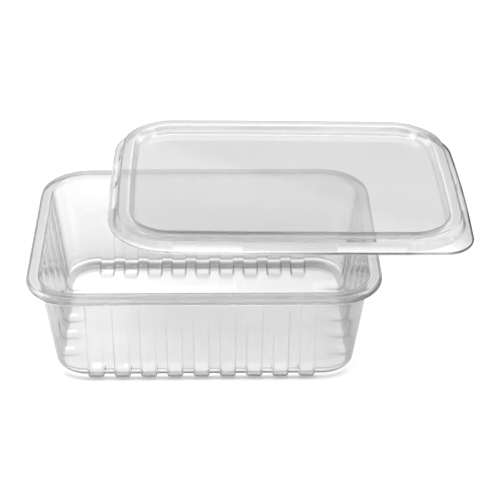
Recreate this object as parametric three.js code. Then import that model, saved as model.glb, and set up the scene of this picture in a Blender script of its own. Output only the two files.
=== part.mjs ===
// A clear thermoformed meal tray with ribbed walls, and its loose clear lid lying askew on the rim.
// Millimetres, +Z up. The tray stands on its feet at z = 0.
import * as THREE from 'three';
import { mergeVertices } from 'three/addons/utils/BufferGeometryUtils.js';

// Driving dimensions of the tray
const sheet = 0.8;
const trayLength = 187;
const trayWidth = 137;
const trayHeight = 60;
const rimCorner = 27;
const rimWidth = 6.2;
const lipDrop = 3.7;
const lipFlare = 0.75;
const wallLean = 6.5;
const wallCorner = 18;
const heelRadius = 4.5;
const heelSteps = 3;
const cornerSteps = 6;

// Ribs that run up the walls and turn under the floor as feet
const ribFootWidth = 8.8;
const ribCrestWidth = 6.4;
const ribReach = 1.2;
const ribsAlongLength = { count: 9, pitch: 14.1, shift: -1.8 };
const ribsAlongWidth = { count: 5, pitch: 16, shift: 0 };
const ribTop = 51;
const ribFade = 5;
const footDepth = 1.7;
const footReach = 13;
const footRamp = 3;

// Driving dimensions of the lid
const lidLength = 200;
const lidWidth = 150;
const lidCorner = 34;
const tabCorner = 9;
const ledgeWidth = 4.2;
const skirtLean = 0.5;
const ridgeHeight = 7.7;
const ridgeWidth = 6.2;
const recessSlope = 2.8;
const panelRise = 2.5;
const lugReach = 1;
const lugHeight = 3;
const lugRamp = 2;
const recessOffset = 0.6;
const longLugs = { length: 41, centre: 43 };
const shortLugs = { length: 22, centre: 16 };

// How the lid lies on the tray
const lidShift = new THREE.Vector2(47, 48.2);
const lidTurn = THREE.MathUtils.degToRad(0.43);
const restGap = 0.3;

const clearTray = new THREE.MeshStandardMaterial({ color: 0xe6ebee, roughness: 0.08, metalness: 0 });
const clearLid = new THREE.MeshStandardMaterial({ color: 0xdfe5e8, roughness: 0.08, metalness: 0 });
for (const clearSheet of [clearTray, clearLid]) {
  clearSheet.transparent = true;
  clearSheet.opacity = 0.35;
}

// A station is a place round a rounded rectangle: a point along a straight side, or a turn in a corner.
// Its crest is 0 between ribs or lugs and 1 on top of one.
function sideStations(angle, features) {
  return features.map(({ along, crest }) => ({ angle, along, crest, corner: false }));
}

function cornerStations(startAngle, steps, tab) {
  const stations = [];
  for (let step = 0; step <= steps; step += 1) {
    const angle = startAngle + (step / steps) * (Math.PI / 2);
    stations.push({ angle, crest: 0, corner: true, quadrant: startAngle + Math.PI / 4, tab });
  }
  return stations;
}

function ribFeatures({ count, pitch, shift }) {
  const features = [];
  for (let rib = 0; rib < count; rib += 1) {
    const centre = (rib - (count - 1) / 2) * pitch + shift;
    features.push({ along: centre - ribFootWidth / 2, crest: 0 });
    features.push({ along: centre - ribCrestWidth / 2, crest: 1 });
    features.push({ along: centre + ribCrestWidth / 2, crest: 1 });
    features.push({ along: centre + ribFootWidth / 2, crest: 0 });
  }
  return features;
}

function lugFeatures({ length, centre }) {
  const features = [];
  for (const middle of [-centre, centre]) {
    features.push({ along: middle - length / 2 - lugRamp, crest: 0 });
    features.push({ along: middle - length / 2, crest: 1 });
    features.push({ along: middle + length / 2, crest: 1 });
    features.push({ along: middle + length / 2 + lugRamp, crest: 0 });
  }
  return features;
}

// Opposite sides are passed in opposite directions.
function mirrored(features) {
  return features.map(({ along, crest }) => ({ along: -along, crest })).reverse();
}

// Stations run round the outline from the +X side, by way of +Y.
function ringStations(longFeatures, shortFeatures, steps, tabSide) {
  const stations = [];
  for (let side = 0; side < 4; side += 1) {
    const angle = (side * Math.PI) / 2;
    const features = side % 2 === 0 ? shortFeatures : longFeatures;
    stations.push(...sideStations(angle, side < 2 ? mirrored(features) : features));
    stations.push(...cornerStations(angle, steps, side === tabSide));
  }
  return stations;
}

// Where a row of the section passes a station, in plan.
function planPoint(station, row, length, width) {
  if (row.inset === undefined) return new THREE.Vector2(0, 0);
  const outward = new THREE.Vector2(Math.cos(station.angle), Math.sin(station.angle));
  const half = new THREE.Vector2(length / 2 - row.inset, width / 2 - row.inset);
  if (station.corner) {
    const radius = station.tab && row.tabCorner !== undefined ? row.tabCorner : row.corner;
    const core = half.clone().subScalar(radius);
    core.x *= Math.sign(Math.cos(station.quadrant));
    core.y *= Math.sign(Math.sin(station.quadrant));
    return core.addScaledVector(outward, radius);
  }
  const reach = Math.abs(outward.x) * half.x + Math.abs(outward.y) * half.y + station.crest * row.crestOut;
  const sideways = new THREE.Vector2(-outward.y, outward.x);
  return outward.multiplyScalar(reach).addScaledVector(sideways, station.along);
}

// A lathe of the section whose meridians are moved out to the stations of a rounded rectangle.
// The section runs from the centre underneath, round the edge, to the centre on top.
function formedSheet(rows, stations, length, width) {
  const section = rows.map((row) => new THREE.Vector2(row.inset === undefined ? 0 : 1, row.height));
  const lathe = new THREE.LatheGeometry(section, stations.length);
  const position = lathe.getAttribute('position');
  for (let column = 0; column <= stations.length; column += 1) {
    const station = stations[column % stations.length];
    rows.forEach((row, index) => {
      const point = planPoint(station, row, length, width);
      const height = row.height - station.crest * row.crestDrop;
      position.setXYZ(column * rows.length + index, point.x, point.y, height);
    });
  }
  lathe.deleteAttribute('normal');
  lathe.deleteAttribute('uv');
  return withoutCollapsed(mergeVertices(lathe, 0.001));
}

// The centre and the corner joins of a lathe hold triangles with two corners in one place.
function withoutCollapsed(geometry) {
  const index = geometry.getIndex().array;
  const kept = [];
  for (let first = 0; first < index.length; first += 3) {
    const [a, b, c] = index.slice(first, first + 3);
    if (a !== b && b !== c && c !== a) kept.push(a, b, c);
  }
  geometry.setIndex(kept);
  geometry.computeVertexNormals();
  return geometry;
}

function row(inset, corner, height, crestOut = 0, crestDrop = 0) {
  return { inset, corner, height, crestOut, crestDrop };
}

function centreRow(height) {
  return { height, crestDrop: 0 };
}

// One face of the tray's floor and wall, from the centre outwards and up; depth is 0 outside, sheet inside.
function traySkin(depth) {
  const heelInset = rimWidth + wallLean;
  const heelTop = footDepth + heelRadius;
  const heelStart = heelInset + heelRadius;
  const floorCorner = (inset) => wallCorner - (inset - heelInset);
  const wallInset = (height) => heelInset - (wallLean * (height - heelTop)) / (trayHeight - heelTop);
  const footEnd = heelStart + footReach - footRamp;
  const rows = [
    centreRow(footDepth + depth),
    row(footEnd + footRamp, floorCorner(footEnd + footRamp), footDepth + depth),
    row(footEnd, floorCorner(footEnd), footDepth + depth, 0, footDepth),
  ];
  for (let step = 0; step <= heelSteps; step += 1) {
    const turn = (step / heelSteps) * (Math.PI / 2);
    const inset = heelStart - (heelRadius - depth) * Math.sin(turn);
    const height = heelTop - (heelRadius - depth) * Math.cos(turn);
    rows.push(row(inset, floorCorner(inset), height, ribReach * Math.sin(turn), footDepth * Math.cos(turn)));
  }
  rows.push(row(wallInset(ribTop) + depth, wallCorner - depth, ribTop, ribReach));
  rows.push(row(wallInset(ribTop + ribFade) + depth, wallCorner - depth, ribTop + ribFade));
  return rows;
}

// The flat rim and its turned-down lip.
function trayRim() {
  const corner = (inset) => rimCorner - inset;
  const lipInside = sheet + lipFlare;
  return [
    row(rimWidth, corner(rimWidth), trayHeight - sheet),
    row(lipInside, corner(lipInside), trayHeight - sheet),
    row(sheet, corner(sheet), trayHeight - lipDrop),
    row(0, rimCorner, trayHeight - lipDrop),
    row(lipFlare, corner(lipFlare), trayHeight),
    row(rimWidth + sheet, corner(rimWidth + sheet), trayHeight),
  ];
}

function makeTray() {
  const rows = [...traySkin(0), ...trayRim(), ...traySkin(sheet).reverse()];
  const stations = ringStations(ribFeatures(ribsAlongLength), ribFeatures(ribsAlongWidth), cornerSteps);
  const tray = new THREE.Mesh(formedSheet(rows, stations, trayLength, trayWidth), clearTray);
  tray.name = 'tray';
  return tray;
}

// One face of the lid from the centre out to the foot of its skirt; depth is 0 on top, sheet underneath.
function lidSkin(depth) {
  const corner = (inset) => lidCorner - inset;
  const skirtTop = ledgeWidth + skirtLean + depth;
  const ridgeInner = ledgeWidth + skirtLean + ridgeWidth - recessOffset * depth;
  const lugInset = ledgeWidth + (skirtLean * lugHeight) / ridgeHeight + depth;
  const panelInset = ridgeInner + recessSlope;
  return [
    centreRow(panelRise + sheet - depth),
    row(panelInset, corner(panelInset), panelRise + sheet - depth),
    row(ridgeInner, corner(ridgeInner), ridgeHeight - depth),
    row(skirtTop, corner(skirtTop), ridgeHeight - depth),
    row(lugInset, corner(lugInset), lugHeight, -lugReach),
    row(ledgeWidth + depth, corner(ledgeWidth + depth), sheet - depth),
  ];
}

function makeLid() {
  const ledge = [row(0, lidCorner, 0), row(0, lidCorner, sheet)];
  for (const edge of ledge) edge.tabCorner = tabCorner;
  const rows = [...lidSkin(sheet), ...ledge, ...lidSkin(0).reverse()];
  const frontRight = 3;
  const stations = ringStations(lugFeatures(longLugs), lugFeatures(shortLugs), cornerSteps, frontRight);
  const lid = new THREE.Mesh(formedSheet(rows, stations, lidLength, lidWidth), clearLid);
  lid.name = 'lid';
  return lid;
}

// The lid lies on three points: its ledge crosses the rim twice, and its panel meets the rim's far corner.
function restLid(lid) {
  const top = trayHeight + restGap;
  const backLeft = new THREE.Vector3(lidShift.x - lidLength / 2 + ledgeWidth, trayWidth / 2, top);
  const frontRight = new THREE.Vector3(trayLength / 2, lidShift.y - lidWidth / 2 + ledgeWidth, top);
  const across = frontRight.clone().sub(backLeft);
  const farSide = new THREE.Vector2(-across.y, across.x).normalize();
  const cornerCentre = new THREE.Vector2(trayLength / 2 - rimCorner, trayWidth / 2 - rimCorner);
  const farCorner = cornerCentre.addScaledVector(farSide, rimCorner);
  const low = new THREE.Vector3(farCorner.x, farCorner.y, top - panelRise);
  const up = across.clone().cross(low.clone().sub(backLeft)).normalize();
  const along = new THREE.Vector3(Math.cos(lidTurn), Math.sin(lidTurn), 0).projectOnPlane(up).normalize();
  const inward = up.clone().cross(along);
  lid.quaternion.setFromRotationMatrix(new THREE.Matrix4().makeBasis(along, inward, up));
  const slope = new THREE.Plane().setFromNormalAndCoplanarPoint(up, backLeft);
  const height = -(slope.constant + up.x * lidShift.x + up.y * lidShift.y) / up.z;
  lid.position.set(lidShift.x, lidShift.y, height);
}

// The whole is centred over the origin and stands on it.
const container = new THREE.Group();
const tray = makeTray();
const lid = makeLid();
restLid(lid);
container.add(tray, lid);
container.updateMatrixWorld(true);
const extent = new THREE.Box3().setFromObject(container, true);
const middle = extent.getCenter(new THREE.Vector3());
container.position.set(-middle.x, -middle.y, -extent.min.z);

export default container;
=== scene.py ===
import math

import bpy
from mathutils import Matrix, Vector

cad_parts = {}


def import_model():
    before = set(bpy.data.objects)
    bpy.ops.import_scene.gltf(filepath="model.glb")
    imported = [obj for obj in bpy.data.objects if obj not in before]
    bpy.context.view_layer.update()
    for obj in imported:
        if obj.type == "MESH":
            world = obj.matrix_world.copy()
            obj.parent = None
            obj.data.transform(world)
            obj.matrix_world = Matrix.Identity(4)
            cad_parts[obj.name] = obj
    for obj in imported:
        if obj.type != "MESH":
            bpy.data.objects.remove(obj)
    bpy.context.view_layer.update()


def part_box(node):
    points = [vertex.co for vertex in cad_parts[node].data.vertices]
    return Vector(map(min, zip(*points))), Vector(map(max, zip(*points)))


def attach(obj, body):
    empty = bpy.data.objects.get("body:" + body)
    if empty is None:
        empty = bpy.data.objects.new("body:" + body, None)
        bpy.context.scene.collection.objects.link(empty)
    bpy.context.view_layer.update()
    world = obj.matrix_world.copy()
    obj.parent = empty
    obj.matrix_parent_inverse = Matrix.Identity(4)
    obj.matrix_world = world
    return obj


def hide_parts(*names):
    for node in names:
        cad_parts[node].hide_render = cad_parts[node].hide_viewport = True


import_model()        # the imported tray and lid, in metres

millimetre = 0.001
quarterTurn = math.pi / 2
print("frame loaded")


# adds a node: its settings by name, its inputs as values or as sockets to link
def addNode(tree, kind, inputs=None, **settings):
    node = tree.nodes.new(kind)
    for name, value in settings.items():
        setattr(node, name, value)
    for name, value in (inputs or {}).items():
        if isinstance(value, bpy.types.NodeSocket):
            tree.links.new(value, node.inputs[name])
        else:
            node.inputs[name].default_value = value
    return node


# an sRGB hex value as linear colour
def linearColour(hexValue):
    channels = [int(hexValue[start:start + 2], 16) / 255 for start in (1, 3, 5)]
    return [c / 12.92 if c <= 0.04045 else ((c + 0.055) / 1.055) ** 2.4 for c in channels] + [1.0]


def smooth(share):
    share = min(1.0, max(0.0, share))
    return share * share * (3 - 2 * share)


def between(low, high, share):
    return low + (high - low) * share


# 0 up to a place, then softly up to 1 over the blend
def after(place, start, blend):
    return smooth((place - start) / blend)


# 1 until a blend's length before a place, then softly down to 0 there
def before(place, end, blend):
    return smooth((end - place) / blend)


# a value between listed places, straight from one to the next
def alongStops(stops, place):
    for (low, lowValue), (high, highValue) in zip(stops, stops[1:]):
        if place <= high:
            return between(lowValue, highValue, min(1.0, max(0.0, (place - low) / (high - low))))
    return stops[-1][1]


# an amount for all round, with more or less of it towards the sides it names
def sided(amounts, shares):
    return sum(amount * shares[side] for side, amount in amounts.items())


# a section of a sheet, in mm inset and height, from its corners and their radii, with long runs divided
def roundedSection(corners, arcSteps, longestRun):
    path = [Vector(corners[0][:2])]
    for earlier, here, later in zip(corners, corners[1:], corners[2:]):
        corner = Vector(here[:2])
        back = (Vector(earlier[:2]) - corner).normalized()
        on = (Vector(later[:2]) - corner).normalized()
        half = back.angle(on) / 2
        centre = corner + (back + on).normalized() * here[2] / math.sin(half)
        start = corner + back * here[2] / math.tan(half) - centre
        sweep = start.angle_signed(corner + on * here[2] / math.tan(half) - centre)
        for step in range(arcSteps + 1):
            turned = start.copy()
            turned.rotate(Matrix.Rotation(-sweep * step / arcSteps, 2))
            path.append(centre + turned)
    path.append(Vector(corners[-1][:2]))
    divided = [path[0]]
    for start, end in zip(path, path[1:]):
        parts = max(1, math.ceil((end - start).length / longestRun))
        divided.extend(start.lerp(end, part / parts) for part in range(1, parts + 1))
    return divided


# the section with points added at the given lengths along it, and the length at each point
def withPlaces(path, places, closest):
    points, runs = [path[0]], [0.0]
    for start, end in zip(path, path[1:]):
        soFar, length = runs[-1], (end - start).length
        for place in sorted(places):
            if soFar + closest < place < soFar + length - closest:
                points.append(start.lerp(end, (place - soFar) / length))
                runs.append(place)
        points.append(end)
        runs.append(soFar + length)
    return points, runs


# Places round the outline, side by side and corner by corner, with a feature's flanks in fine steps.
# A place has its outward direction, its distance along the side, its corner, and its share of a rib or lug
def ringStations(longSide, shortSide, cornerSteps, flankSteps):
    stations = []
    raised = [smooth(step / flankSteps) for step in range(flankSteps + 1)]
    crests = raised + [1.0] + raised[::-1]
    for side in range(4):
        angle = side * quarterTurn
        outward = (round(math.cos(angle)), round(math.sin(angle)))
        feature = shortSide if side % 2 == 0 else longSide
        flank = [between(feature["foot"], feature["crest"], step / flankSteps) / 2
                 for step in range(flankSteps + 1)]
        places = [-place for place in flank] + [0.0] + flank[::-1]
        for index in range(feature["count"]):
            offset = index - (feature["count"] - 1) / 2
            centre = offset * feature["pitch"] - outward[1] * feature["shift"]
            for place, crest in zip(places, crests):
                stations.append({"out": outward, "along": centre + place, "quadrant": (0, 0), "corner": 0,
                                 "crest": crest, "depth": feature["depth"], "tab": False})
        quadrant = (1 if side in (0, 3) else -1, 1 if side < 2 else -1)
        for step in range(cornerSteps + 1):
            turn = angle + quarterTurn * step / cornerSteps
            stations.append({"out": (math.cos(turn), math.sin(turn)), "along": 0.0, "quadrant": quadrant,
                             "corner": 1, "crest": 0.0, "depth": 1.0, "tab": side == 3})
    return stations


# A grid of rows by stations that carries its rule as attributes: the Geometry Nodes tree sets it in place
def ruledGrid(name, rows, stations, looksAt):
    width = len(rows)
    faces = []
    for column in range(len(stations)):
        here, onward = column * width, (column + 1) % len(stations) * width
        for step in range(width - 1):
            faces.append((here + step, here + step + 1, onward + step + 1, onward + step))
    mesh = bpy.data.meshes.new(name)
    places = [(column, step, 0) for column in range(len(stations)) for step in range(width)]
    mesh.from_pydata(places, [], faces)
    values = {"station": [], "quadrant": [], "section": [], "lift": []}
    # painted shade and painted highlight, point by point
    looks = {"veil": [], "frost": []}
    for station in stations:
        depth = station["depth"]
        for row in rows:
            radius = row.get("tabRadius", row["radius"]) if station["tab"] else row["radius"]
            values["station"].extend((*station["out"], station["along"]))
            values["quadrant"].extend((*station["quadrant"], station["corner"]))
            values["section"].extend((row["inset"], radius, row["height"]))
            values["lift"].extend((row["out"] * depth, row["drop"] * depth, row["spread"]))
            veil, frost = looksAt(row, station)
            looks["veil"].append(veil)
            looks["frost"].append(frost)
    for key, numbers in values.items():
        mesh.attributes.new(key, "FLOAT_VECTOR", "POINT").data.foreach_set("vector", numbers)
    for key, numbers in looks.items():
        mesh.attributes.new(key, "FLOAT", "POINT").data.foreach_set("value", numbers)
    piece = bpy.data.objects.new(name, mesh)
    bpy.context.scene.collection.objects.link(piece)
    return piece


# What both sheets share, in mm and degrees
sheetMaking = {
    "mergeDistance": 0.005,    # closes the sheet in its middle and between corner and side
    "sharpFrom": 50,           # edges that turn more than this stay sharp
}


# The rule of a formed sheet: rounded rectangles stacked by the section, with ribs or lugs along the sides
def formedSheetTree():
    tree = bpy.data.node_groups.new("Formed sheet", "GeometryNodeTree")
    socket = tree.interface.new_socket
    socket(name="Geometry", in_out="INPUT", socket_type="NodeSocketGeometry")
    sizes = ("Length", "Width", "Reach", "Drop", "Long shift", "Long bow", "Short bow",
             "Long count", "Long pitch", "Long crest", "Long foot",
             "Short count", "Short pitch", "Short crest", "Short foot")
    for name in sizes:
        socket(name=name, in_out="INPUT", socket_type="NodeSocketFloat")
    socket(name="Material", in_out="INPUT", socket_type="NodeSocketMaterial")
    socket(name="Geometry", in_out="OUTPUT", socket_type="NodeSocketGeometry")
    given = addNode(tree, "NodeGroupInput").outputs

    split = {}
    for key in ("station", "quadrant", "section", "lift"):
        read = addNode(tree, "GeometryNodeInputNamedAttribute", {"Name": key}, data_type="FLOAT_VECTOR")
        split[key] = addNode(tree, "ShaderNodeSeparateXYZ", {"Vector": read.outputs["Attribute"]}).outputs
    outX, outY, along = split["station"]
    quadX, quadY, isCorner = split["quadrant"]
    inset, radius, height = split["section"]
    outShare, dropShare, spread = split["lift"]

    # which side's features these are
    absY = addNode(tree, "ShaderNodeMath", {0: outY}, operation="ABSOLUTE").outputs[0]
    onLong = addNode(tree, "ShaderNodeMath", {0: absY, 1: 0.5}, operation="GREATER_THAN").outputs[0]
    sideSizes = []
    for side in ("Short", "Long"):
        sizesOfSide = {"X": given[f"{side} pitch"], "Y": given[f"{side} crest"], "Z": given[f"{side} foot"]}
        sideSizes.append(addNode(tree, "ShaderNodeCombineXYZ", sizesOfSide).outputs[0])
    sizesHere = addNode(tree, "ShaderNodeMix", {"Factor": onLong, 4: sideSizes[0], 5: sideSizes[1]},
                        data_type="VECTOR").outputs[1]
    pitch, crestWidth, footWidth = addNode(tree, "ShaderNodeSeparateXYZ", {0: sizesHere}).outputs
    count = addNode(tree, "ShaderNodeMix",
                    {"Factor": onLong, 2: given["Short count"], 3: given["Long count"]},
                    data_type="FLOAT").outputs[0]

    # distance along the side to the nearest feature's middle
    leftX = addNode(tree, "ShaderNodeMath", {0: outY, 1: -1.0}, operation="MULTIPLY").outputs[0]
    shiftHere = addNode(tree, "ShaderNodeMath", {0: leftX, 1: given["Long shift"]}, operation="MULTIPLY")
    fromMiddle = addNode(tree, "ShaderNodeMath", {0: along, 1: shiftHere.outputs[0]},
                         operation="SUBTRACT")
    cells = addNode(tree, "ShaderNodeMath", {0: fromMiddle.outputs[0], 1: pitch}, operation="DIVIDE")
    odd = addNode(tree, "ShaderNodeMath", {0: count, 1: 2.0}, operation="MODULO")
    shifted = addNode(tree, "ShaderNodeMath", {0: odd.outputs[0], 1: 0.5, 2: cells.outputs[0]},
                      operation="MULTIPLY_ADD")
    share = addNode(tree, "ShaderNodeMath", {0: shifted.outputs[0]}, operation="FRACT")
    offMiddle = addNode(tree, "ShaderNodeMath", {0: share.outputs[0], 1: 0.5}, operation="SUBTRACT")
    offShare = addNode(tree, "ShaderNodeMath", {0: offMiddle.outputs[0]}, operation="ABSOLUTE")
    away = addNode(tree, "ShaderNodeMath", {0: offShare.outputs[0], 1: pitch}, operation="MULTIPLY")
    crestHalf = addNode(tree, "ShaderNodeMath", {0: crestWidth, 1: 0.5}, operation="MULTIPLY")
    footHalf = addNode(tree, "ShaderNodeMath", {0: footWidth, 1: 0.5}, operation="MULTIPLY")
    raised = addNode(tree, "ShaderNodeMapRange",
                     {"Value": away.outputs[0], "From Min": crestHalf.outputs[0],
                      "From Max": footHalf.outputs[0], "To Min": 1.0, "To Max": 0.0},
                     interpolation_type="SMOOTHSTEP")
    onSide = addNode(tree, "ShaderNodeMath", {0: 1.0, 1: isCorner}, operation="SUBTRACT")
    crest = addNode(tree, "ShaderNodeMath", {0: raised.outputs[0], 1: onSide.outputs[0]},
                    operation="MULTIPLY").outputs[0]

    # half sizes of this row's outline
    fullSize = addNode(tree, "ShaderNodeCombineXYZ", {"X": given["Length"], "Y": given["Width"]}).outputs[0]
    halfSize = addNode(tree, "ShaderNodeVectorMath", {0: fullSize, "Scale": 0.5},
                       operation="SCALE").outputs[0]
    insetBoth = addNode(tree, "ShaderNodeCombineXYZ", {"X": inset, "Y": inset}).outputs[0]
    rowHalf = addNode(tree, "ShaderNodeVectorMath", {0: halfSize, 1: insetBoth},
                      operation="SUBTRACT").outputs[0]
    outward = addNode(tree, "ShaderNodeCombineXYZ", {"X": outX, "Y": outY}).outputs[0]

    # a point in a corner
    radiusBoth = addNode(tree, "ShaderNodeCombineXYZ", {"X": radius, "Y": radius}).outputs[0]
    core = addNode(tree, "ShaderNodeVectorMath", {0: rowHalf, 1: radiusBoth},
                   operation="SUBTRACT").outputs[0]
    quadrant = addNode(tree, "ShaderNodeCombineXYZ", {"X": quadX, "Y": quadY}).outputs[0]
    coreHere = addNode(tree, "ShaderNodeVectorMath", {0: core, 1: quadrant},
                       operation="MULTIPLY").outputs[0]
    arm = addNode(tree, "ShaderNodeVectorMath", {0: outward, "Scale": radius},
                  operation="SCALE").outputs[0]
    cornerPoint = addNode(tree, "ShaderNodeVectorMath", {0: coreHere, 1: arm},
                          operation="ADD").outputs[0]

    # a point on a side, pushed out on a rib and in on a lug
    outwardSize = addNode(tree, "ShaderNodeVectorMath", {0: outward}, operation="ABSOLUTE").outputs[0]
    sideHalf = addNode(tree, "ShaderNodeVectorMath", {0: outwardSize, 1: rowHalf},
                       operation="DOT_PRODUCT").outputs["Value"]
    outCrest = addNode(tree, "ShaderNodeMath", {0: crest, 1: outShare}, operation="MULTIPLY").outputs[0]
    reach = addNode(tree, "ShaderNodeMath", {0: outCrest, 1: given["Reach"], 2: sideHalf},
                    operation="MULTIPLY_ADD").outputs[0]
    reachArm = addNode(tree, "ShaderNodeVectorMath", {0: outward, "Scale": reach},
                       operation="SCALE").outputs[0]
    sideways = addNode(tree, "ShaderNodeCombineXYZ", {"X": leftX, "Y": outX}).outputs[0]
    alongArm = addNode(tree, "ShaderNodeVectorMath", {0: sideways, "Scale": along},
                       operation="SCALE").outputs[0]
    sidePoint = addNode(tree, "ShaderNodeVectorMath", {0: reachArm, 1: alongArm},
                        operation="ADD").outputs[0]
    plan = addNode(tree, "ShaderNodeMix", {"Factor": isCorner, 4: sidePoint, 5: cornerPoint},
                   data_type="VECTOR").outputs[1]

    # sides bowed: their ends are drawn in by the bow, and their middles stay
    planShare = addNode(tree, "ShaderNodeVectorMath", {0: plan, 1: halfSize},
                        operation="DIVIDE").outputs[0]
    squared = addNode(tree, "ShaderNodeVectorMath", {0: planShare, 1: planShare},
                      operation="MULTIPLY").outputs[0]
    ends = addNode(tree, "ShaderNodeSeparateXYZ", {"Vector": squared}).outputs
    drawnX = addNode(tree, "ShaderNodeMath", {0: ends["Y"], 1: given["Short bow"]},
                     operation="MULTIPLY").outputs[0]
    drawnY = addNode(tree, "ShaderNodeMath", {0: ends["X"], 1: given["Long bow"]},
                     operation="MULTIPLY").outputs[0]
    drawn = addNode(tree, "ShaderNodeCombineXYZ", {"X": drawnX, "Y": drawnY}).outputs[0]
    drawnIn = addNode(tree, "ShaderNodeVectorMath", {0: drawn, 1: planShare},
                      operation="MULTIPLY").outputs[0]
    bowed = addNode(tree, "ShaderNodeVectorMath", {0: plan, 1: drawnIn}, operation="SUBTRACT").outputs[0]

    # with its height, lower on a foot
    planSpread = addNode(tree, "ShaderNodeVectorMath", {0: bowed, "Scale": spread},
                         operation="SCALE").outputs[0]
    dropCrest = addNode(tree, "ShaderNodeMath", {0: crest, 1: dropShare},
                        operation="MULTIPLY").outputs[0]
    dropped = addNode(tree, "ShaderNodeMath", {0: dropCrest, 1: given["Drop"]},
                      operation="MULTIPLY").outputs[0]
    level = addNode(tree, "ShaderNodeMath", {0: height, 1: dropped}, operation="SUBTRACT").outputs[0]
    upward = addNode(tree, "ShaderNodeCombineXYZ", {"Z": level}).outputs[0]
    place = addNode(tree, "ShaderNodeVectorMath", {0: planSpread, 1: upward}, operation="ADD").outputs[0]

    placed = addNode(tree, "GeometryNodeSetPosition", {"Geometry": given["Geometry"], "Position": place})
    closed = addNode(tree, "GeometryNodeMergeByDistance",
                     {"Geometry": placed.outputs[0], "Distance": sheetMaking["mergeDistance"]})
    rounded = addNode(tree, "GeometryNodeSetShadeSmooth", {"Geometry": closed.outputs[0]})
    real = addNode(tree, "GeometryNodeRealizeInstances", {"Geometry": rounded.outputs[0]})
    finished = addNode(tree, "GeometryNodeSetMaterial",
                       {"Geometry": real.outputs[0], "Material": given["Material"]})
    addNode(tree, "NodeGroupOutput", {0: finished.outputs[0]})
    return tree


# The tree's inputs for a piece
def treeSizes(piece, reach, drop, longSide, shortSide):
    sizes = {"Length": piece["length"], "Width": piece["width"], "Reach": reach, "Drop": drop,
             "Long bow": piece["longBow"], "Short bow": piece["shortBow"], "Long shift": longSide["shift"]}
    for name, side in (("Long", longSide), ("Short", shortSide)):
        for key in ("count", "pitch", "crest", "foot"):
            sizes[f"{name} {key}"] = side[key]
    return sizes


# Runs the tree on a grid, gives the sheet its thickness below the shown face, and returns a plain mesh
def formSheet(name, grid, tree, sizes, thickness, material, place):
    modifier = grid.modifiers.new("Formed sheet", "NODES")
    modifier.node_group = tree
    for item in tree.interface.items_tree:
        if item.in_out == "INPUT" and item.name in sizes:
            modifier[item.identifier] = float(sizes[item.name])
        if item.in_out == "INPUT" and item.name == "Material":
            modifier[item.identifier] = material
    wall = grid.modifiers.new("Sheet", "SOLIDIFY")
    wall.thickness = thickness
    wall.offset = -1
    wall.use_even_offset = True
    bpy.context.view_layer.update()
    evaluated = grid.evaluated_get(bpy.context.evaluated_depsgraph_get())
    mesh = bpy.data.meshes.new_from_object(evaluated)
    mesh.transform(place @ Matrix.Scale(millimetre, 4))
    mesh.set_sharp_from_angle(angle=math.radians(sheetMaking["sharpFrom"]))
    bpy.data.objects.remove(grid)
    piece = bpy.data.objects.new(name, mesh)
    bpy.context.scene.collection.objects.link(piece)
    print(name, "has", len(mesh.polygons), "faces")
    return piece
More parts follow.
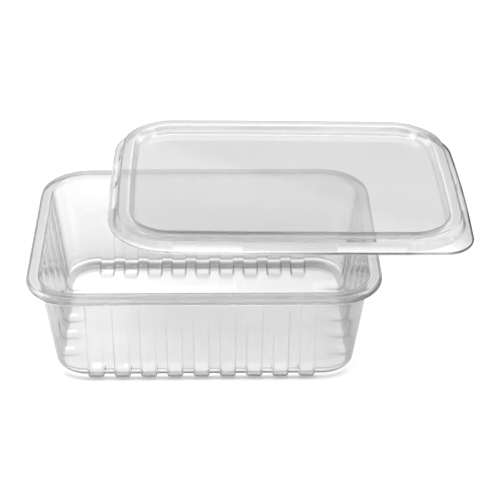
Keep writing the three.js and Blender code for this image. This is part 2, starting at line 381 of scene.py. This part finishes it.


# Clear PET sheet, thermoformed: glassy and nearly mirror-smooth, with soft waves from the mould; painted
# shade greys it, most where it bends tightly and where it is seen edge-on, and painted highlights whiten it
# in places
def clearPet(name, finish):
    material = bpy.data.materials.new(name)
    material.use_nodes = True
    tree = material.node_tree
    tree.nodes.clear()
    colours = {key: linearColour(finish[key])
               for key in ("clear", "clearer", "veil", "edge", "frost", "shade", "veilShade")}
    place = addNode(tree, "ShaderNodeTexCoord").outputs["Object"]
    # painted shade: how much grey stands in for shade here, set on the sheet's points
    veil = addNode(tree, "ShaderNodeAttribute", attribute_name="veil").outputs["Fac"]
    # painted highlight: how much white stands in for highlights and reflections here
    frost = addNode(tree, "ShaderNodeAttribute", attribute_name="frost").outputs["Fac"]
    cloud = addNode(tree, "ShaderNodeTexNoise",
                    {"Vector": place, "Scale": 1 / (finish["cloudSize"] * millimetre),
                     "Detail": finish["cloudDetail"]}).outputs["Fac"]
    # painted shade where the sheet turns edge-on to the view
    edgeOn = addNode(tree, "ShaderNodeLayerWeight", {"Blend": 0.5}).outputs["Facing"]
    edge = addNode(tree, "ShaderNodeMapRange",
                   {"Value": edgeOn, "From Min": finish["edgeStart"], "From Max": finish["edgeFull"]},
                   interpolation_type="SMOOTHSTEP").outputs[0]
    colour = colours["clear"]
    for factor, key in ((cloud, "clearer"), (veil, "veil"), (edge, "edge"), (frost, "frost")):
        colour = addNode(tree, "ShaderNodeMix", {"Factor": factor, 6: colour, 7: colours[key]},
                         data_type="RGBA").outputs[2]
    # where the painted highlight is white, the sheet lets less light through
    seeThrough = addNode(tree, "ShaderNodeMath", {0: 1.0, 1: frost}, operation="SUBTRACT").outputs[0]
    waves = addNode(tree, "ShaderNodeTexNoise",
                    {"Vector": place, "Scale": 1 / (finish["waveSize"] * millimetre),
                     "Detail": finish["waveDetail"]}).outputs["Fac"]
    bump = addNode(tree, "ShaderNodeBump",
                   {"Strength": finish["waveStrength"], "Distance": finish["waveDepth"] * millimetre,
                    "Height": waves}).outputs[0]
    haze = addNode(tree, "ShaderNodeMapRange",
                   {"Value": cloud, "To Min": finish["gloss"], "To Max": finish["haze"]}).outputs[0]
    plastic = addNode(tree, "ShaderNodeBsdfPrincipled",
                      {"Base Color": colour, "Roughness": haze, "IOR": finish["ior"],
                       "Transmission Weight": seeThrough, "Normal": bump}).outputs[0]

    # lamps shine through it, so that it throws the pale shadow of a clear sheet
    bend = addNode(tree, "ShaderNodeMath", {0: veil, 1: 2.0}, operation="POWER").outputs[0]
    shade = addNode(tree, "ShaderNodeMix", {"Factor": bend, 6: colours["shade"], 7: colours["veilShade"]},
                    data_type="RGBA").outputs[2]
    lampRays = addNode(tree, "ShaderNodeLightPath").outputs["Is Shadow Ray"]
    letThrough = addNode(tree, "ShaderNodeBsdfTransparent", {"Color": shade}).outputs[0]
    both = addNode(tree, "ShaderNodeMixShader", {0: lampRays, 1: plastic, 2: letThrough}).outputs[0]
    addNode(tree, "ShaderNodeOutputMaterial", {"Surface": both})
    return material


# The tray, in mm
tray = {
    "length": 187.0,
    "width": 137.0,
    "height": 60.0,
    "longBow": 0.0,            # its sides are straight
    "shortBow": 0.0,
    "sheet": 0.6,
    "rimCorner": 27.0,         # the rim's corner radius in plan
    "rimWidth": 6.2,
    "rimBend": 1.2,            # radius from the wall to the rim
    "rimEdge": 1.1,            # radius from the rim to the lip
    "lipDrop": 3.7,
    "lipFlare": 0.75,
    "lipBend": 0.35,
    "wallLean": 6.5,           # how much further in the wall's foot stands than its top
    "wallCorner": 18.0,
    "heelRadius": 4.5,
    "footDepth": 1.7,
    "footReach": 13.0,         # how far in under the floor the feet begin
    "footRamp": 12.0,          # they come down over this much of the floor
    "footSlide": 20.0,         # and their drop fades out over this much of the wall
    "ribReach": 1.1,
    "ribReachTop": 0.75,       # share of the reach at the wall's top
    "ribTop": 51.0,
    "ribFade": 5.0,
    # ribs: how many, how far apart, their width on top and at the foot, how far the set is off the middle,
    # and their share of the full depth
    "ribsLong": {"count": 9, "pitch": 14.1, "crest": 6.1, "foot": 8.9, "shift": -1.8, "depth": 1.0},
    "ribsShort": {"count": 5, "pitch": 16.0, "crest": 2.0, "foot": 11.6, "shift": 0.0, "depth": 0.5},
    "cornerSteps": 22,         # the mesh: steps round a corner, up a rib's flank and round a bend
    "flankSteps": 6,
    "arcSteps": 9,
    "longestRun": 2.2,         # its rows stand no further apart, and no closer than the next value
    "closestRows": 0.1,
    "levelWithin": 0.001,      # the floor ends where the section has risen by this
    "floorRings": (0.0, 0.3, 0.6, 0.85),       # rings of the plain floor, as shares of its size
    "floorRadius": 0.5,
    "leastRadius": 0.3,        # no corner is tighter

    # how much painted shade greys the sheet, by mm along it from the start of the heel's bend, and where
    # painted highlight whitens it;
    # pairs are where a stretch starts or ends and the length of the blend there
    "looks": {
        "greyStops": ((0.0, 0.0), (0.4, 0.68), (3.6, 0.77), (4.7, 0.5), (5.1, 0.0), (6.2, 0.0), (6.8, 0.64),
                      (7.2, 0.72), (7.7, 0.43), (12.0, 0.32), (30.0, 0.22), (50.0, 0.13), (57.0, 0.13),
                      (59.5, 0.18), (65.5, 0.16), (67.5, 0.2), (69.0, 0.45)),
        "footLag": 1.6,                        # the heel's grey ends this much further up a foot
        "footLagRun": 4.0,
        "frontHeelStart": (-0.6, 0.4),
        "frontHeelEnd": (4.6, 0.6),
        "frontHeelGrey": (0.5, 0.95),          # painted shade along the contact line, under the heel and on it
        "frontHeelDarker": (0.8, 1.0),
        "frontBare": (6.4, 0.6),               # up to here the front has its own greys alone
        "frontWallStart": (8.0, 6.0),
        "frontWallEnd": (59.0, 3.0),
        "frontWallGrey": (0.12, 0.24),         # painted shade at the wall's foot and at its top
        "rightGrey": (0.17, 0.4),              # painted shadow on the right wall and on its front corner
        "rightPower": 12,                      # how closely a place has to face right
        "rightRise": 4.0,
        "backRun": 30.0,                       # and it fades towards the back over this length
        "endHeelEase": 0.5,                    # the end walls' heels are this much less grey
        "endHeel": (10.0, 2.0),
        "rimRun": 57.0,                        # where the wall ends
        "rimStart": (57.0, 2.0),
        # painted highlight along the top of the rim
        "rimFrostEnd": (63.0, 2.0),
        "rimFrost": 0.12,
        "endRimGrey": 0.19,
        "lipGrey": 0.5,
        "lipStart": (66.0, 1.5),
        "lipToRight": (0.2, 0.5),              # painted shadow: the lip is greyer where it faces right
    },

    # clear PET, thermoformed; its cast shadow is nearly as pale as the sheet, a little deeper under bends
    "finish": {
        # its own tints, the greys of painted shade, and the white of painted highlight
        "clear": "#f4f4f4", "clearer": "#fbfbfb", "veil": "#808080", "edge": "#8c8c8c", "frost": "#fafafa",
        "shade": "#fbfbfb", "veilShade": "#a0a0a0",
        "edgeStart": 0.45, "edgeFull": 0.9,    # how far it turns edge-on before painted shade greys it
        "cloudSize": 45.0, "cloudDetail": 2.0, # mm: patches that were drawn thinner
        "waveSize": 14.0, "waveDetail": 1.0,   # mm: waves left by the mould
        "waveDepth": 0.25, "waveStrength": 0.25,
        "gloss": 0.015, "haze": 0.05, "ior": 1.57,
    },
}


# The tray's section from the middle of the floor up the wall and out to the lip
def trayRows():
    sheet = tray["sheet"]
    floorTop = tray["footDepth"] + sheet
    heelInset = tray["rimWidth"] + tray["wallLean"]
    heelTop = tray["footDepth"] + tray["heelRadius"]
    wallHeight = tray["height"] - heelTop
    floorEdge = heelInset + tray["heelRadius"] + tray["footReach"]
    wallTop = tray["rimWidth"] + sheet
    lean = tray["wallLean"] / wallHeight
    heelCorner = heelInset + sheet + lean * (heelTop - floorTop)
    heelBend = tray["heelRadius"] - sheet
    lipFoot = tray["height"] - tray["lipDrop"] + sheet
    corners = [
        (floorEdge, floorTop),
        (heelCorner, floorTop, heelBend),
        (wallTop, tray["height"], tray["rimBend"]),
        (tray["lipFlare"], tray["height"], tray["rimEdge"]),
        (tray["lipFlare"], lipFoot, tray["lipBend"]),
        (0.0, lipFoot),
    ]
    path = roundedSection(corners, tray["arcSteps"], tray["longestRun"])
    level = floorTop + tray["levelWithin"]
    heelStart = next(index for index, point in enumerate(path) if point.y > level) - 1
    floorRun = sum((end - start).length for start, end in zip(path[:heelStart], path[1:heelStart + 1]))
    greyPlaces = [place + floorRun for place, grey in tray["looks"]["greyStops"]]
    path, runs = withPlaces(path, greyPlaces, tray["closestRows"])
    rows = [{"inset": floorEdge, "radius": tray["floorRadius"], "height": floorTop,
             "out": 0, "drop": 0, "spread": share, "run": -floorRun} for share in tray["floorRings"]]
    for (inset, height), run in zip(path, runs):
        rise = min(1.0, max(0.0, (height - floorTop) / heelBend))
        up = min(1.0, max(0.0, (height - heelTop) / wallHeight))
        if inset < wallTop:
            radius, drop, bulge = tray["rimCorner"] - inset, 0, 0
        else:
            radius = between(tray["wallCorner"] - sheet, tray["rimCorner"] - wallTop, up)
            if height < heelTop:
                radius = tray["wallCorner"] - (inset - heelInset)
            ramp = smooth((floorEdge - inset) / tray["footRamp"])
            drop = ramp * (1 - smooth((height - heelTop) / tray["footSlide"]))
            fade = 1 - smooth((height - tray["ribTop"]) / tray["ribFade"])
            bulge = math.sqrt(1 - (1 - rise) ** 2) * fade * between(1.0, tray["ribReachTop"], up)
        slide = lean * drop * tray["footDepth"] / tray["ribReach"]     # keeps the drop in the wall's plane
        rows.append({"inset": inset, "radius": max(radius, tray["leastRadius"]), "height": height,
                     "out": bulge - slide * rise, "drop": drop, "spread": 1, "run": run - floorRun})
    return rows


# How much painted shade greys the tray's sheet and painted highlight whitens it: the painted shade is most
# at the heel, by the side it is on
def trayLooks(row, station):
    look, run, out = tray["looks"], row["run"], station["out"]
    toFront, toEnd = max(0.0, -out[1]) ** 2, out[0] ** 2
    lag = look["footLag"] * station["crest"] * station["depth"] * smooth(1 - run / look["footLagRun"])
    bare = 1 - toFront * before(run, *look["frontBare"])
    ease = 1 - look["endHeelEase"] * toEnd * before(run, *look["endHeel"])
    # painted shade all round, by mm along the sheet
    allRound = alongStops(look["greyStops"], run - lag) * ease * bare
    # painted shade along the front's contact line, under the heel and on it
    heel = toFront * after(run, *look["frontHeelStart"]) * before(run, *look["frontHeelEnd"])
    heel *= between(*look["frontHeelGrey"], after(run, *look["frontHeelDarker"]))
    # painted shade on the front wall, more towards its top
    wall = toFront * after(run, *look["frontWallStart"]) * before(run, *look["frontWallEnd"])
    wall *= between(*look["frontWallGrey"], run / look["rimRun"])
    # painted shadow where the lip and the wall face right
    if run > look["rimRun"]:
        right = look["lipGrey"] * after(out[0], *look["lipToRight"]) * after(run, *look["lipStart"])
    else:
        toBack = station["quadrant"][1] + station["along"] / look["backRun"]
        right = look["rightGrey"][station["corner"]] * max(0.0, out[0]) ** look["rightPower"]
        right *= smooth(0.5 - toBack) * smooth(run / look["rightRise"])
    # painted shade on the end walls' rim
    rim = look["endRimGrey"] * toEnd * after(run, *look["rimStart"])
    # painted highlight along the rim's top
    frost = look["rimFrost"] * after(run, *look["rimStart"]) * before(run, *look["rimFrostEnd"])
    return allRound + max(heel, wall) + right + rim, frost


# The middle of the tray's footprint, in metres
def trayMiddle():
    low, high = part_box("tray")
    return Vector(((low.x + high.x) / 2, (low.y + high.y) / 2, low.z))


def makeTray(tree):
    longSide, shortSide = tray["ribsLong"], tray["ribsShort"]
    stations = ringStations(longSide, shortSide, tray["cornerSteps"], tray["flankSteps"])
    grid = ruledGrid("tray grid", trayRows(), stations, trayLooks)
    sizes = treeSizes(tray, tray["ribReach"], tray["footDepth"], longSide, shortSide)
    material = clearPet("tray clear PET thermoformed", tray["finish"])
    place = Matrix.Translation(trayMiddle())
    return formSheet("tray_sheet", grid, tree, sizes, tray["sheet"], material, place)


# The lid, in mm
lid = {
    "length": 201.5,
    "width": 152.2,
    "longBow": 1.2,            # how far a long side's ends are drawn in
    "shortBow": 2.5,
    "sheet": 0.8,
    "corner": 34.0,
    "tabCorner": 9.0,          # the ledge's tighter corner at the front right, to lift it by
    "ledgeWidth": 2.8,
    "ledgeBend": 0.5,
    "edgeRoll": 1.0,           # height of the turned-up edge
    "edgeBend": 0.3,
    "skirtLean": 2.8,
    "ridgeHeight": 8.2,
    "ridgeWidth": 6.5,
    "ridgeBend": 1.2,
    "recessSlope": 2.4,
    "panelRise": 1.8,          # the panel's underside above the ledge's
    "panelBend": 1.2,
    "panelMargin": 3.0,
    "lugReach": 0.8,           # lugs press in from the skirt
    "lugHeight": 3.3,
    "lugHalf": 2.6,
    "lugsLong": {"count": 2, "pitch": 90.0, "crest": 36.6, "foot": 39.4, "shift": -1.6, "depth": 1.0},
    "lugsShort": {"count": 2, "pitch": 32.0, "crest": 22.0, "foot": 26.0, "shift": 0.0, "depth": 1.0},
    "shift": (46.7, 47.4),     # its middle, from the tray's
    "turn": 0.3,               # degrees
    "gap": 0.3,                # between the two sheets where the lid rests
    "cornerSteps": 28,
    "flankSteps": 5,
    "arcSteps": 6,
    "longestRun": 1.5,
    "panelRings": (0.0, 0.3, 0.6, 0.85),
    "slack": 0.1,              # how near to a bend a row still counts as on it

    # how much painted shade greys the sheet and painted highlight whitens it, with more or less towards
    # each side;
    # pairs are where a stretch starts and the length of the blend there
    "looks": {
        "edgeGrey": (0.15, 1.0),               # painted shadow on the cut edge: over the tray and clear of it
        "edgeFrost": (0.4, 0.0),
        "clearRun": 40.0,                      # the change takes this much of a long side
        # painted shade on the sheet, more towards the right, back and left
        "sheetGrey": {"all": 0.1, "right": 0.3, "back": 0.15, "left": 0.15},
        # painted highlight on the ledge and skirt, more at the front and on the lugs
        "ledgeFrost": {"all": 0.12, "front": 0.4},
        "ledgeLugFrost": {"all": 0.8, "left": -0.3, "right": -0.3},
        "ledgeLugStart": (0.9, 1.2),
        "skirtFrost": {"front": 0.7},
        "skirtLugFrost": {"all": 1.0, "left": -0.4, "right": -0.35},
        "lugBlend": 1.5,
        "lugIntoCorner": (0.965, 0.02),        # the painted highlight of a long side's lugs runs on into the corners
        "leftCornerLug": 1.0,
        "rightCornerLug": 0.4,
        "ridgeGrey": {"back": 0.3, "right": 0.3, "left": 0.28},
        "ridgeBase": 0.12,
        "ridgeFrost": {"all": 0.15, "back": 0.3, "left": 0.12},
        "innerSide": (2.2, 4.4),               # width of the ridge's inner part, and at the front
        "innerBlend": 1.2,
        "frontBand": 0.25,                     # painted shade: the dark line inside the front ridge
        "frontBandEase": 0.7,                  # less of it clear of the tray
        "panelBendIn": 0.5,                    # the panel's look reaches this far round its bend
        "panelBendUp": 1.0,
        # painted shade over the panel, with a little painted highlight
        "panelGrey": 0.35,
        "panelFar": 0.1,                       # more painted shade towards the far right
        "farTurn": 0.35,
        "panelFrost": 0.28,
    },

    # clear PET, thermoformed, a touch greyer than the tray's
    "finish": {
        # its own tints, the greys of painted shade, and the white of painted highlight
        "clear": "#eeeeee", "clearer": "#f5f5f5", "veil": "#6a6a6a", "edge": "#8c8c8c", "frost": "#fafafa",
        "shade": "#f7f7f7", "veilShade": "#606060",
        "edgeStart": 0.45, "edgeFull": 0.9,
        "cloudSize": 55.0, "cloudDetail": 2.0,
        "waveSize": 18.0, "waveDetail": 1.0,
        "waveDepth": 0.2, "waveStrength": 0.25,
        "gloss": 0.015, "haze": 0.05, "ior": 1.57,
    },
}


# The lid's section from the middle of the panel over the ridge and down the skirt to the ledge
def lidRows():
    sheet = lid["sheet"]
    panelTop = lid["panelRise"] + sheet
    skirtTop = lid["ledgeWidth"] + lid["skirtLean"]
    ridgeInner = skirtTop + lid["ridgeWidth"]
    panelInset = ridgeInner + lid["recessSlope"]
    panelEdge = panelInset + lid["panelMargin"]
    corners = [
        (panelEdge, panelTop),
        (panelInset, panelTop, lid["panelBend"]),
        (ridgeInner, lid["ridgeHeight"], lid["ridgeBend"]),
        (skirtTop, lid["ridgeHeight"], lid["ridgeBend"]),
        (lid["ledgeWidth"], sheet, lid["ledgeBend"]),
        (sheet, sheet, lid["edgeBend"]),
        (sheet, sheet + lid["edgeRoll"]),
    ]
    rows = [{"inset": panelEdge, "radius": lid["corner"] - panelEdge, "height": panelTop,
             "out": 0, "drop": 0, "spread": share} for share in lid["panelRings"]]
    for inset, height in roundedSection(corners, lid["arcSteps"], lid["longestRun"]):
        offLug = abs(height - lid["lugHeight"]) / lid["lugHalf"]
        onSkirt = lid["ledgeWidth"] - lid["slack"] < inset <= skirtTop
        row = {"inset": inset, "radius": lid["corner"] - inset, "height": height,
               "out": -smooth(1 - offLug) if onSkirt else 0, "drop": 0, "spread": 1}
        if inset < lid["ledgeWidth"]:
            innerRadius = lid["corner"] - lid["ledgeWidth"]
            row["tabRadius"] = between(lid["tabCorner"], innerRadius, inset / lid["ledgeWidth"])
        rows.append(row)
    return rows


# How much painted shade greys the lid's sheet and painted highlight whitens it: the painted highlight is
# strongest on the lugs and over the ridge
def lidLooks(row, station):
    look, out, inset, height = lid["looks"], station["out"], row["inset"], row["height"]
    shares = {"front": -out[1], "back": out[1], "right": out[0], "left": -out[0], "all": 1.0}
    shares = {side: max(0.0, toward) ** 2 for side, toward in shares.items()}
    front = shares["front"]
    onLongSide = not station["corner"] and out[0] == 0
    clearOfTray = smooth(0.5 + (front * station["along"] / look["clearRun"] if onLongSide else out[0]))
    skirtTop = lid["ledgeWidth"] + lid["skirtLean"]
    ridgeInner = skirtTop + lid["ridgeWidth"]
    lug = station["crest"]
    if station["corner"]:
        cornerLug = look["leftCornerLug"] if out[0] < 0 else look["rightCornerLug"]
        lug = after(abs(out[1]), *look["lugIntoCorner"]) * cornerLug
    elif front and station["along"] < -lid["lugsLong"]["pitch"] / 2:
        lug = 1.0
    # the cut edge: painted shadow clear of the tray, painted highlight over it
    if inset < lid["sheet"] + lid["slack"]:
        return between(*look["edgeGrey"], clearOfTray), between(*look["edgeFrost"], clearOfTray)
    # the ledge: painted shade by side, painted highlight most on the lugs
    if inset < lid["ledgeWidth"] - lid["slack"]:
        onLug = lug * after(inset, *look["ledgeLugStart"])
        whiter = between(sided(look["ledgeFrost"], shares), sided(look["ledgeLugFrost"], shares), onLug)
        return sided(look["sheetGrey"], shares), whiter
    # the skirt: painted highlight low on the lugs and along the front
    if inset < skirtTop and height < lid["ridgeHeight"] - lid["ridgeBend"]:
        low = before(height, lid["lugHeight"] + lid["lugHalf"], look["lugBlend"])
        whiter = between(sided(look["skirtFrost"], shares), sided(look["skirtLugFrost"], shares), lug)
        return sided(look["sheetGrey"], shares), low * whiter
    # the ridge: painted shade, a dark line of painted shade inside the front, and painted highlight
    slopeEnd = ridgeInner + lid["recessSlope"] - look["panelBendIn"]
    if inset < slopeEnd and height > lid["panelRise"] + lid["sheet"] + look["panelBendUp"]:
        innerStart = ridgeInner - between(*look["innerSide"], front)
        onInner = after(inset, innerStart, look["innerBlend"])
        upper = sided(look["ridgeGrey"], shares) * (1 - onInner) + look["ridgeBase"]
        band = look["frontBand"] * onInner * front * (1 - look["frontBandEase"] * clearOfTray)
        return upper + band, sided(look["ridgeFrost"], shares) * (1 - onInner * front)
    # the panel: painted shade, more towards the far right, and a little painted highlight
    far = smooth(0.5 + look["farTurn"] * (out[0] + out[1]))
    return look["panelGrey"] + look["panelFar"] * far, look["panelFrost"]


# The lid lies on three points: its ledge crosses the rim twice, and its panel meets the rim's far corner
def lidPlace():
    top = tray["height"] + lid["gap"]
    shiftX, shiftY = lid["shift"]
    halfLength, halfWidth = tray["length"] / 2, tray["width"] / 2
    backLeft = Vector((shiftX - lid["length"] / 2 + lid["ledgeWidth"], halfWidth, top))
    frontRight = Vector((halfLength, shiftY - lid["width"] / 2 + lid["ledgeWidth"], top))
    across = frontRight - backLeft
    farSide = Vector((-across.y, across.x, 0)).normalized()
    rimCorner = tray["rimCorner"]
    low = Vector((halfLength - rimCorner, halfWidth - rimCorner, 0)) + farSide * rimCorner
    low.z = top - lid["panelRise"]
    up = across.cross(low - backLeft).normalized()
    turn = math.radians(lid["turn"])
    heading = Vector((math.cos(turn), math.sin(turn), 0))
    along = (heading - up * heading.dot(up)).normalized()
    inward = up.cross(along)
    height = backLeft.z - (up.x * (shiftX - backLeft.x) + up.y * (shiftY - backLeft.y)) / up.z
    at = trayMiddle() + Vector((shiftX, shiftY, height)) * millimetre
    return Matrix.Translation(at) @ Matrix((along, inward, up)).transposed().to_4x4()


def makeLid(tree):
    longSide, shortSide = lid["lugsLong"], lid["lugsShort"]
    stations = ringStations(longSide, shortSide, lid["cornerSteps"], lid["flankSteps"])
    grid = ruledGrid("lid grid", lidRows(), stations, lidLooks)
    sizes = treeSizes(lid, lid["lugReach"], 0, longSide, shortSide)
    material = clearPet("lid clear PET thermoformed", lid["finish"])
    return formSheet("lid_sheet", grid, tree, sizes, lid["sheet"], material, lidPlace())


# The table and soft studio light: panels with place, aim and size in metres, and their watts
studio = {
    "overhead": {"place": (0.0, 0.15, 1.35), "aim": (0.0, 0.05, 0.0), "size": (1.6, 1.3), "watts": 20.0},
    "left": {"place": (-1.2, -0.5, 0.75), "aim": (0.0, 0.0, 0.03), "size": (0.6, 0.9), "watts": 6.0},
    "right": {"place": (1.25, -0.35, 0.8), "aim": (0.0, 0.0, 0.03), "size": (0.6, 0.9), "watts": 6.0},
    "world": 0.3,
    "floorSize": 8.0,
    "floorDrop": 0.0003,       # just under the feet
    "floorColour": "#f6f6f6",
    "floorRoughness": 0.9,
    "floorSpecular": 0.1,
}


# White board with a matt coat: even and without shine
def makeFloor():
    half = studio["floorSize"] / 2
    mesh = bpy.data.meshes.new("floor")
    outline = [(x * half, y * half, -studio["floorDrop"]) for x, y in ((-1, -1), (1, -1), (1, 1), (-1, 1))]
    mesh.from_pydata(outline, [], [(0, 1, 2, 3)])
    floor = bpy.data.objects.new("floor", mesh)
    bpy.context.scene.collection.objects.link(floor)
    material = bpy.data.materials.new("table white matt board")
    material.use_nodes = True
    board = material.node_tree.nodes["Principled BSDF"]
    board.inputs["Base Color"].default_value = linearColour(studio["floorColour"])
    board.inputs["Roughness"].default_value = studio["floorRoughness"]
    board.inputs["Specular IOR Level"].default_value = studio["floorSpecular"]
    mesh.materials.append(material)


def makeLights():
    for name in ("overhead", "left", "right"):
        panel = studio[name]
        light = bpy.data.lights.new(name, "AREA")
        light.shape = "RECTANGLE"
        light.size, light.size_y = panel["size"]
        light.energy = panel["watts"]
        lamp = bpy.data.objects.new(name, light)
        lamp.location = panel["place"]
        facing = Vector(panel["aim"]) - Vector(panel["place"])
        lamp.rotation_euler = facing.to_track_quat("-Z", "Y").to_euler()
        bpy.context.scene.collection.objects.link(lamp)
    world = bpy.data.worlds.new("studio")
    world.use_nodes = True
    grey = world.node_tree.nodes["Background"]
    grey.inputs["Color"].default_value = (1, 1, 1, 1)
    grey.inputs["Strength"].default_value = studio["world"]
    bpy.context.scene.world = world


# How the camera of the photo stood, about the middle of the tray's footprint
view = {
    "elevation": 32.07,        # degrees above the table
    "azimuth": -1.41,          # degrees round from straight in front
    "roll": 0.53,
    "distance": 894.5,         # mm
    "slideRight": 25.26,       # mm across the view
    "slideUp": 39.80,
    "lens": 113.52,            # mm on the sensor below
    "sensor": 36.0,
    "clipStart": 0.01,
    "bounces": 24,             # enough for light to cross both sheets and come back
    "clearBounces": 32,
}


def makeCamera():
    elevation, azimuth, roll = (math.radians(view[key]) for key in ("elevation", "azimuth", "roll"))
    level = Vector((math.cos(azimuth), math.sin(azimuth), 0))
    back = Vector((math.sin(azimuth) * math.cos(elevation), -math.cos(azimuth) * math.cos(elevation),
                   math.sin(elevation)))
    upright = back.cross(level)
    right = level * math.cos(roll) + upright * math.sin(roll)
    up = upright * math.cos(roll) - level * math.sin(roll)
    slide = back * view["distance"] + right * view["slideRight"] + up * view["slideUp"]
    eye = trayMiddle() + slide * millimetre
    camera = bpy.data.cameras.new("camera")
    camera.lens = view["lens"]
    camera.sensor_width = view["sensor"]
    camera.sensor_fit = "HORIZONTAL"
    camera.clip_start = view["clipStart"]
    holder = bpy.data.objects.new("camera", camera)
    holder.matrix_world = Matrix.Translation(eye) @ Matrix((right, up, back)).transposed().to_4x4()
    scene = bpy.context.scene
    scene.collection.objects.link(holder)
    scene.camera = holder
    scene.view_settings.view_transform = "Standard"
    scene.cycles.transparent_max_bounces = view["clearBounces"]
    scene.cycles.transmission_bounces = view["bounces"]
    scene.cycles.max_bounces = view["bounces"]


makeCamera()
makeLights()
makeFloor()
print("camera, lights and table ready")
sheetTree = formedSheetTree()
for make, node in ((makeTray, "tray"), (makeLid, "lid")):
    piece = make(sheetTree)
    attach(piece, "root")
    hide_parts(node)
print("tray and lid ready")
